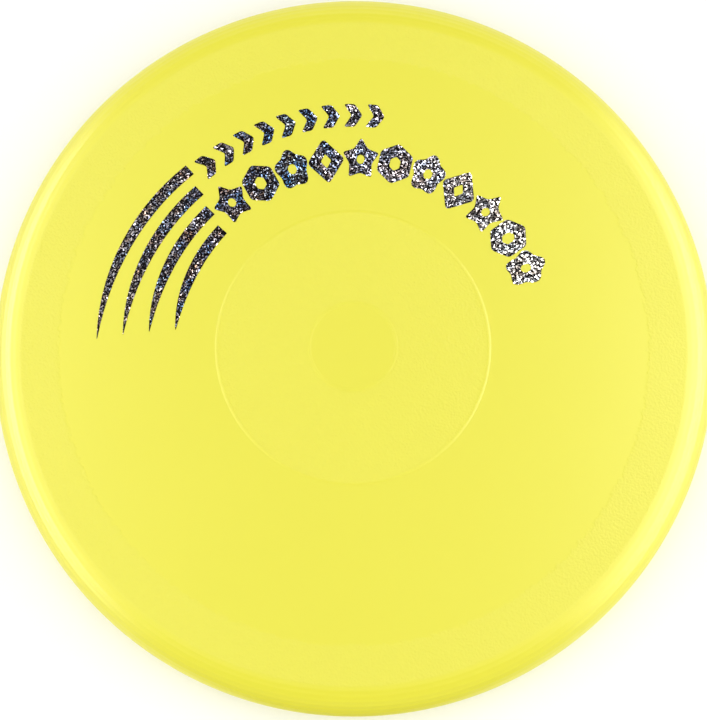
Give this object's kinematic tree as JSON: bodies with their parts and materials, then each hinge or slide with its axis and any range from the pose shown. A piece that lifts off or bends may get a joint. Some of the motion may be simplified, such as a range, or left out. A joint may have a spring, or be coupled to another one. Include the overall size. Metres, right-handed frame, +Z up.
{
  "type": "flying disc",
  "caption": "Soft moulded flying disc with a domed plate, rounded shoulder, deep rim open below, low raised rings and a curved glitter foil print of stripes and simple shapes.",
  "frame": {"origin": "on the disc's axis, in the plane that the rim stands on", "axes": "+Z up along the disc's axis, out of the domed top; +Y towards the printed side; +X to the right when the top is seen with the print above the middle"},
  "size_m": [0.197, 0.197, 0.027],
  "materials": {
    "soft_plastic": "bright yellow soft thermoplastic elastomer, satin, with a fine stipple near the shoulder and inside the plate ring",
    "glitter_foil": "hot-stamped glitter foil, dark with silver, pink and blue flakes"
  },
  "bodies": {
    "root": {"disc_body": "soft_plastic", "foil_chevron_1": "glitter_foil", "foil_chevron_2": "glitter_foil", "foil_chevron_3": "glitter_foil", "foil_chevron_4": "glitter_foil", "foil_chevron_5": "glitter_foil", "foil_chevron_6": "glitter_foil", "foil_chevron_7": "glitter_foil", "foil_chevron_8": "glitter_foil", "foil_chevron_9": "glitter_foil", "foil_diamond_1": "glitter_foil", "foil_diamond_2": "glitter_foil", "foil_flower_1": "glitter_foil", "foil_flower_2": "glitter_foil", "foil_flower_3": "glitter_foil", "foil_hexagon_1": "glitter_foil", "foil_hexagon_2": "glitter_foil", "foil_hexagon_3": "glitter_foil", "foil_star_1": "glitter_foil", "foil_star_2": "glitter_foil", "foil_star_3": "glitter_foil", "foil_stripe_1": "glitter_foil", "foil_stripe_2": "glitter_foil", "foil_stripe_3": "glitter_foil", "foil_stripe_4": "glitter_foil"}
  },
  "joints": []
}
